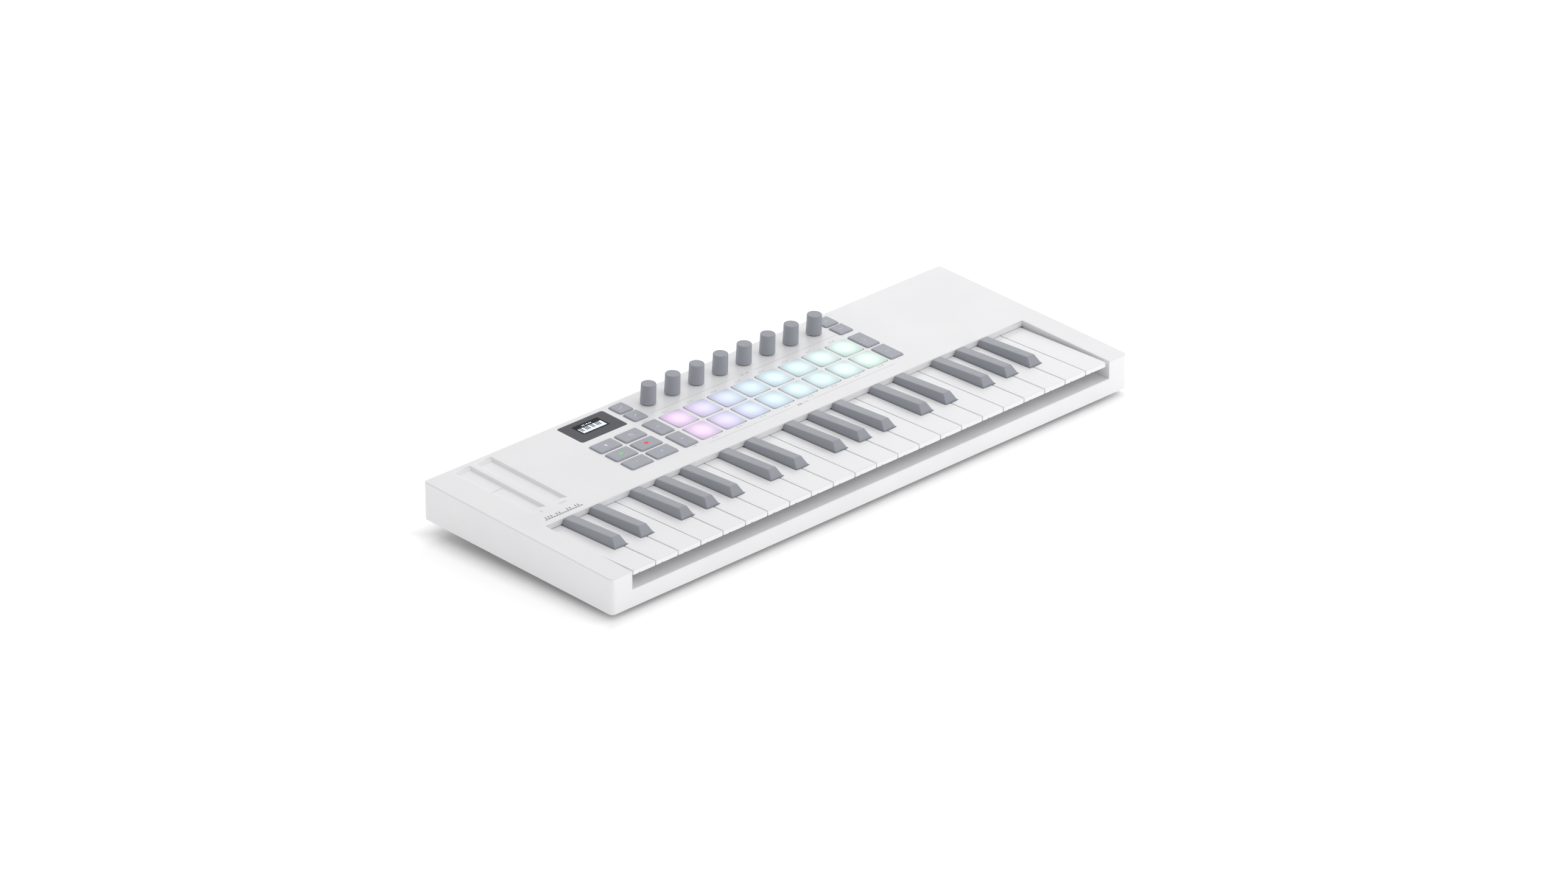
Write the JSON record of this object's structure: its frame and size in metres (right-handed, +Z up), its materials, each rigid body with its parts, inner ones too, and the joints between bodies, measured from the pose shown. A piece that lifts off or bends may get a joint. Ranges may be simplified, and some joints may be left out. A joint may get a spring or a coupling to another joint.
{
  "type": "controller keyboard synthesizer",
  "caption": "Slim white controller keyboard with sprung mini keys, lit pads, soft buttons, endless encoders, touch strips and a small display.",
  "frame": {"origin": "centre of the footprint on the table, under the rubber feet", "axes": "+X to the treble end, +Y to the rear sockets, +Z up"},
  "size_m": [0.4802, 0.1768, 0.0518],
  "materials": {
    "case_white": "fine matt texture, off-white",
    "base_white": "matt moulded underside",
    "frame_grey": "plain moulded",
    "board_green": "solder mask over glass fibre laminate",
    "contact_rubber": "silicone with carbon pills",
    "window_gloss": "gloss tinted panel",
    "display_black": "dark display glass",
    "socket_black": "moulded sockets",
    "foot_rubber": "soft matt rubber",
    "screw_steel": "zinc plated",
    "pad_silicone": "translucent silicone, lit from below",
    "button_silicone": "soft matt grey",
    "white_key_gloss": "smooth, lightly polished",
    "black_key_grey": "satin slate grey",
    "knob_grey": "satin slate grey"
  },
  "bodies": {
    "case": {"top_case": "case_white", "bottom_case": "base_white", "key_frame": "frame_grey", "key_contact_board": "board_green", "rubber_contact_strip": "contact_rubber", "main_board": "board_green", "display_window": "window_gloss", "display_module": "display_black", "touch_strips": "case_white", "rear_sockets": "socket_black", "rubber_feet": "foot_rubber", "case_screws": "screw_steel"},
    "pad_mat": {"pad_mat": "pad_silicone"},
    "left_button_mat": {"left_button_mat": "button_silicone"},
    "right_button_mat": {"right_button_mat": "button_silicone"},
    "white_key_c1": {"white_key_c1": "white_key_gloss"},
    "white_key_d1": {"white_key_d1": "white_key_gloss"},
    "white_key_e1": {"white_key_e1": "white_key_gloss"},
    "white_key_f1": {"white_key_f1": "white_key_gloss"},
    "white_key_g1": {"white_key_g1": "white_key_gloss"},
    "white_key_a1": {"white_key_a1": "white_key_gloss"},
    "white_key_b1": {"white_key_b1": "white_key_gloss"},
    "white_key_c2": {"white_key_c2": "white_key_gloss"},
    "white_key_d2": {"white_key_d2": "white_key_gloss"},
    "white_key_e2": {"white_key_e2": "white_key_gloss"},
    "white_key_f2": {"white_key_f2": "white_key_gloss"},
    "white_key_g2": {"white_key_g2": "white_key_gloss"},
    "white_key_a2": {"white_key_a2": "white_key_gloss"},
    "white_key_b2": {"white_key_b2": "white_key_gloss"},
    "white_key_c3": {"white_key_c3": "white_key_gloss"},
    "white_key_d3": {"white_key_d3": "white_key_gloss"},
    "white_key_e3": {"white_key_e3": "white_key_gloss"},
    "white_key_f3": {"white_key_f3": "white_key_gloss"},
    "white_key_g3": {"white_key_g3": "white_key_gloss"},
    "white_key_a3": {"white_key_a3": "white_key_gloss"},
    "white_key_b3": {"white_key_b3": "white_key_gloss"},
    "white_key_c4": {"white_key_c4": "white_key_gloss"},
    "black_key_c_sharp_1": {"black_key_c_sharp_1": "black_key_grey"},
    "black_key_d_sharp_1": {"black_key_d_sharp_1": "black_key_grey"},
    "black_key_f_sharp_1": {"black_key_f_sharp_1": "black_key_grey"},
    "black_key_g_sharp_1": {"black_key_g_sharp_1": "black_key_grey"},
    "black_key_a_sharp_1": {"black_key_a_sharp_1": "black_key_grey"},
    "black_key_c_sharp_2": {"black_key_c_sharp_2": "black_key_grey"},
    "black_key_d_sharp_2": {"black_key_d_sharp_2": "black_key_grey"},
    "black_key_f_sharp_2": {"black_key_f_sharp_2": "black_key_grey"},
    "black_key_g_sharp_2": {"black_key_g_sharp_2": "black_key_grey"},
    "black_key_a_sharp_2": {"black_key_a_sharp_2": "black_key_grey"},
    "black_key_c_sharp_3": {"black_key_c_sharp_3": "black_key_grey"},
    "black_key_d_sharp_3": {"black_key_d_sharp_3": "black_key_grey"},
    "black_key_f_sharp_3": {"black_key_f_sharp_3": "black_key_grey"},
    "black_key_g_sharp_3": {"black_key_g_sharp_3": "black_key_grey"},
    "black_key_a_sharp_3": {"black_key_a_sharp_3": "black_key_grey"},
    "encoder_knob_1": {"encoder_knob_1": "knob_grey"},
    "encoder_knob_2": {"encoder_knob_2": "knob_grey"},
    "encoder_knob_3": {"encoder_knob_3": "knob_grey"},
    "encoder_knob_4": {"encoder_knob_4": "knob_grey"},
    "encoder_knob_5": {"encoder_knob_5": "knob_grey"},
    "encoder_knob_6": {"encoder_knob_6": "knob_grey"},
    "encoder_knob_7": {"encoder_knob_7": "knob_grey"},
    "encoder_knob_8": {"encoder_knob_8": "knob_grey"}
  },
  "joints": [
    {"name": "white_key_c1_press", "type": "hinge", "parent": "case", "child": "white_key_c1", "pos_m": [0, 0.0236, 0.0236], "axis": [1, 0, 0], "range_deg": [0, 3.4], "stiffness_Nm_per_rad": 0.5, "springref_deg": -3.44},
    {"name": "white_key_d1_press", "type": "hinge", "parent": "case", "child": "white_key_d1", "pos_m": [0, 0.0236, 0.0236], "axis": [1, 0, 0], "range_deg": [0, 3.4], "stiffness_Nm_per_rad": 0.5, "springref_deg": -3.44},
    {"name": "white_key_e1_press", "type": "hinge", "parent": "case", "child": "white_key_e1", "pos_m": [0, 0.0236, 0.0236], "axis": [1, 0, 0], "range_deg": [0, 3.4], "stiffness_Nm_per_rad": 0.5, "springref_deg": -3.44},
    {"name": "white_key_f1_press", "type": "hinge", "parent": "case", "child": "white_key_f1", "pos_m": [0, 0.0236, 0.0236], "axis": [1, 0, 0], "range_deg": [0, 3.4], "stiffness_Nm_per_rad": 0.5, "springref_deg": -3.44},
    {"name": "white_key_g1_press", "type": "hinge", "parent": "case", "child": "white_key_g1", "pos_m": [0, 0.0236, 0.0236], "axis": [1, 0, 0], "range_deg": [0, 3.4], "stiffness_Nm_per_rad": 0.5, "springref_deg": -3.44},
    {"name": "white_key_a1_press", "type": "hinge", "parent": "case", "child": "white_key_a1", "pos_m": [0, 0.0236, 0.0236], "axis": [1, 0, 0], "range_deg": [0, 3.4], "stiffness_Nm_per_rad": 0.5, "springref_deg": -3.44},
    {"name": "white_key_b1_press", "type": "hinge", "parent": "case", "child": "white_key_b1", "pos_m": [0, 0.0236, 0.0236], "axis": [1, 0, 0], "range_deg": [0, 3.4], "stiffness_Nm_per_rad": 0.5, "springref_deg": -3.44},
    {"name": "white_key_c2_press", "type": "hinge", "parent": "case", "child": "white_key_c2", "pos_m": [0, 0.0236, 0.0236], "axis": [1, 0, 0], "range_deg": [0, 3.4], "stiffness_Nm_per_rad": 0.5, "springref_deg": -3.44},
    {"name": "white_key_d2_press", "type": "hinge", "parent": "case", "child": "white_key_d2", "pos_m": [0, 0.0236, 0.0236], "axis": [1, 0, 0], "range_deg": [0, 3.4], "stiffness_Nm_per_rad": 0.5, "springref_deg": -3.44},
    {"name": "white_key_e2_press", "type": "hinge", "parent": "case", "child": "white_key_e2", "pos_m": [0, 0.0236, 0.0236], "axis": [1, 0, 0], "range_deg": [0, 3.4], "stiffness_Nm_per_rad": 0.5, "springref_deg": -3.44},
    {"name": "white_key_f2_press", "type": "hinge", "parent": "case", "child": "white_key_f2", "pos_m": [0, 0.0236, 0.0236], "axis": [1, 0, 0], "range_deg": [0, 3.4], "stiffness_Nm_per_rad": 0.5, "springref_deg": -3.44},
    {"name": "white_key_g2_press", "type": "hinge", "parent": "case", "child": "white_key_g2", "pos_m": [0, 0.0236, 0.0236], "axis": [1, 0, 0], "range_deg": [0, 3.4], "stiffness_Nm_per_rad": 0.5, "springref_deg": -3.44},
    {"name": "white_key_a2_press", "type": "hinge", "parent": "case", "child": "white_key_a2", "pos_m": [0, 0.0236, 0.0236], "axis": [1, 0, 0], "range_deg": [0, 3.4], "stiffness_Nm_per_rad": 0.5, "springref_deg": -3.44},
    {"name": "white_key_b2_press", "type": "hinge", "parent": "case", "child": "white_key_b2", "pos_m": [0, 0.0236, 0.0236], "axis": [1, 0, 0], "range_deg": [0, 3.4], "stiffness_Nm_per_rad": 0.5, "springref_deg": -3.44},
    {"name": "white_key_c3_press", "type": "hinge", "parent": "case", "child": "white_key_c3", "pos_m": [0, 0.0236, 0.0236], "axis": [1, 0, 0], "range_deg": [0, 3.4], "stiffness_Nm_per_rad": 0.5, "springref_deg": -3.44},
    {"name": "white_key_d3_press", "type": "hinge", "parent": "case", "child": "white_key_d3", "pos_m": [0, 0.0236, 0.0236], "axis": [1, 0, 0], "range_deg": [0, 3.4], "stiffness_Nm_per_rad": 0.5, "springref_deg": -3.44},
    {"name": "white_key_e3_press", "type": "hinge", "parent": "case", "child": "white_key_e3", "pos_m": [0, 0.0236, 0.0236], "axis": [1, 0, 0], "range_deg": [0, 3.4], "stiffness_Nm_per_rad": 0.5, "springref_deg": -3.44},
    {"name": "white_key_f3_press", "type": "hinge", "parent": "case", "child": "white_key_f3", "pos_m": [0, 0.0236, 0.0236], "axis": [1, 0, 0], "range_deg": [0, 3.4], "stiffness_Nm_per_rad": 0.5, "springref_deg": -3.44},
    {"name": "white_key_g3_press", "type": "hinge", "parent": "case", "child": "white_key_g3", "pos_m": [0, 0.0236, 0.0236], "axis": [1, 0, 0], "range_deg": [0, 3.4], "stiffness_Nm_per_rad": 0.5, "springref_deg": -3.44},
    {"name": "white_key_a3_press", "type": "hinge", "parent": "case", "child": "white_key_a3", "pos_m": [0, 0.0236, 0.0236], "axis": [1, 0, 0], "range_deg": [0, 3.4], "stiffness_Nm_per_rad": 0.5, "springref_deg": -3.44},
    {"name": "white_key_b3_press", "type": "hinge", "parent": "case", "child": "white_key_b3", "pos_m": [0, 0.0236, 0.0236], "axis": [1, 0, 0], "range_deg": [0, 3.4], "stiffness_Nm_per_rad": 0.5, "springref_deg": -3.44},
    {"name": "white_key_c4_press", "type": "hinge", "parent": "case", "child": "white_key_c4", "pos_m": [0, 0.0236, 0.0236], "axis": [1, 0, 0], "range_deg": [0, 3.4], "stiffness_Nm_per_rad": 0.5, "springref_deg": -3.44},
    {"name": "black_key_c_sharp_1_press", "type": "hinge", "parent": "case", "child": "black_key_c_sharp_1", "pos_m": [0, 0.0236, 0.0236], "axis": [1, 0, 0], "range_deg": [0, 3.4], "stiffness_Nm_per_rad": 0.5, "springref_deg": -3.44},
    {"name": "black_key_d_sharp_1_press", "type": "hinge", "parent": "case", "child": "black_key_d_sharp_1", "pos_m": [0, 0.0236, 0.0236], "axis": [1, 0, 0], "range_deg": [0, 3.4], "stiffness_Nm_per_rad": 0.5, "springref_deg": -3.44},
    {"name": "black_key_f_sharp_1_press", "type": "hinge", "parent": "case", "child": "black_key_f_sharp_1", "pos_m": [0, 0.0236, 0.0236], "axis": [1, 0, 0], "range_deg": [0, 3.4], "stiffness_Nm_per_rad": 0.5, "springref_deg": -3.44},
    {"name": "black_key_g_sharp_1_press", "type": "hinge", "parent": "case", "child": "black_key_g_sharp_1", "pos_m": [0, 0.0236, 0.0236], "axis": [1, 0, 0], "range_deg": [0, 3.4], "stiffness_Nm_per_rad": 0.5, "springref_deg": -3.44},
    {"name": "black_key_a_sharp_1_press", "type": "hinge", "parent": "case", "child": "black_key_a_sharp_1", "pos_m": [0, 0.0236, 0.0236], "axis": [1, 0, 0], "range_deg": [0, 3.4], "stiffness_Nm_per_rad": 0.5, "springref_deg": -3.44},
    {"name": "black_key_c_sharp_2_press", "type": "hinge", "parent": "case", "child": "black_key_c_sharp_2", "pos_m": [0, 0.0236, 0.0236], "axis": [1, 0, 0], "range_deg": [0, 3.4], "stiffness_Nm_per_rad": 0.5, "springref_deg": -3.44},
    {"name": "black_key_d_sharp_2_press", "type": "hinge", "parent": "case", "child": "black_key_d_sharp_2", "pos_m": [0, 0.0236, 0.0236], "axis": [1, 0, 0], "range_deg": [0, 3.4], "stiffness_Nm_per_rad": 0.5, "springref_deg": -3.44},
    {"name": "black_key_f_sharp_2_press", "type": "hinge", "parent": "case", "child": "black_key_f_sharp_2", "pos_m": [0, 0.0236, 0.0236], "axis": [1, 0, 0], "range_deg": [0, 3.4], "stiffness_Nm_per_rad": 0.5, "springref_deg": -3.44},
    {"name": "black_key_g_sharp_2_press", "type": "hinge", "parent": "case", "child": "black_key_g_sharp_2", "pos_m": [0, 0.0236, 0.0236], "axis": [1, 0, 0], "range_deg": [0, 3.4], "stiffness_Nm_per_rad": 0.5, "springref_deg": -3.44},
    {"name": "black_key_a_sharp_2_press", "type": "hinge", "parent": "case", "child": "black_key_a_sharp_2", "pos_m": [0, 0.0236, 0.0236], "axis": [1, 0, 0], "range_deg": [0, 3.4], "stiffness_Nm_per_rad": 0.5, "springref_deg": -3.44},
    {"name": "black_key_c_sharp_3_press", "type": "hinge", "parent": "case", "child": "black_key_c_sharp_3", "pos_m": [0, 0.0236, 0.0236], "axis": [1, 0, 0], "range_deg": [0, 3.4], "stiffness_Nm_per_rad": 0.5, "springref_deg": -3.44},
    {"name": "black_key_d_sharp_3_press", "type": "hinge", "parent": "case", "child": "black_key_d_sharp_3", "pos_m": [0, 0.0236, 0.0236], "axis": [1, 0, 0], "range_deg": [0, 3.4], "stiffness_Nm_per_rad": 0.5, "springref_deg": -3.44},
    {"name": "black_key_f_sharp_3_press", "type": "hinge", "parent": "case", "child": "black_key_f_sharp_3", "pos_m": [0, 0.0236, 0.0236], "axis": [1, 0, 0], "range_deg": [0, 3.4], "stiffness_Nm_per_rad": 0.5, "springref_deg": -3.44},
    {"name": "black_key_g_sharp_3_press", "type": "hinge", "parent": "case", "child": "black_key_g_sharp_3", "pos_m": [0, 0.0236, 0.0236], "axis": [1, 0, 0], "range_deg": [0, 3.4], "stiffness_Nm_per_rad": 0.5, "springref_deg": -3.44},
    {"name": "black_key_a_sharp_3_press", "type": "hinge", "parent": "case", "child": "black_key_a_sharp_3", "pos_m": [0, 0.0236, 0.0236], "axis": [1, 0, 0], "range_deg": [0, 3.4], "stiffness_Nm_per_rad": 0.5, "springref_deg": -3.44},
    {"name": "pad_mat_press", "type": "slide", "parent": "case", "child": "pad_mat", "axis": [0, 0.0489, -0.9988], "range_m": [0, 0.0004], "stiffness_N_per_m": 1500, "springref_m": -0.0008},
    {"name": "left_button_mat_press", "type": "slide", "parent": "case", "child": "left_button_mat", "axis": [0, 0.0489, -0.9988], "range_m": [0, 0.0008], "stiffness_N_per_m": 900, "springref_m": -0.0008},
    {"name": "right_button_mat_press", "type": "slide", "parent": "case", "child": "right_button_mat", "axis": [0, 0.0489, -0.9988], "range_m": [0, 0.0008], "stiffness_N_per_m": 500, "springref_m": -0.0008},
    {"name": "encoder_knob_1_turn", "type": "hinge", "parent": "case", "child": "encoder_knob_1", "pos_m": [-0.05435, 0.07181, 0.03694], "axis": [0, -0.0489, 0.9988], "continuous": true},
    {"name": "encoder_knob_2_turn", "type": "hinge", "parent": "case", "child": "encoder_knob_2", "pos_m": [-0.0322, 0.07181, 0.03694], "axis": [0, -0.0489, 0.9988], "continuous": true},
    {"name": "encoder_knob_3_turn", "type": "hinge", "parent": "case", "child": "encoder_knob_3", "pos_m": [-0.01005, 0.07181, 0.03694], "axis": [0, -0.0489, 0.9988], "continuous": true},
    {"name": "encoder_knob_4_turn", "type": "hinge", "parent": "case", "child": "encoder_knob_4", "pos_m": [0.0121, 0.07181, 0.03694], "axis": [0, -0.0489, 0.9988], "continuous": true},
    {"name": "encoder_knob_5_turn", "type": "hinge", "parent": "case", "child": "encoder_knob_5", "pos_m": [0.03425, 0.07181, 0.03694], "axis": [0, -0.0489, 0.9988], "continuous": true},
    {"name": "encoder_knob_6_turn", "type": "hinge", "parent": "case", "child": "encoder_knob_6", "pos_m": [0.0564, 0.07181, 0.03694], "axis": [0, -0.0489, 0.9988], "continuous": true},
    {"name": "encoder_knob_7_turn", "type": "hinge", "parent": "case", "child": "encoder_knob_7", "pos_m": [0.07855, 0.07181, 0.03694], "axis": [0, -0.0489, 0.9988], "continuous": true},
    {"name": "encoder_knob_8_turn", "type": "hinge", "parent": "case", "child": "encoder_knob_8", "pos_m": [0.1007, 0.07181, 0.03694], "axis": [0, -0.0489, 0.9988], "continuous": true}
  ]
}
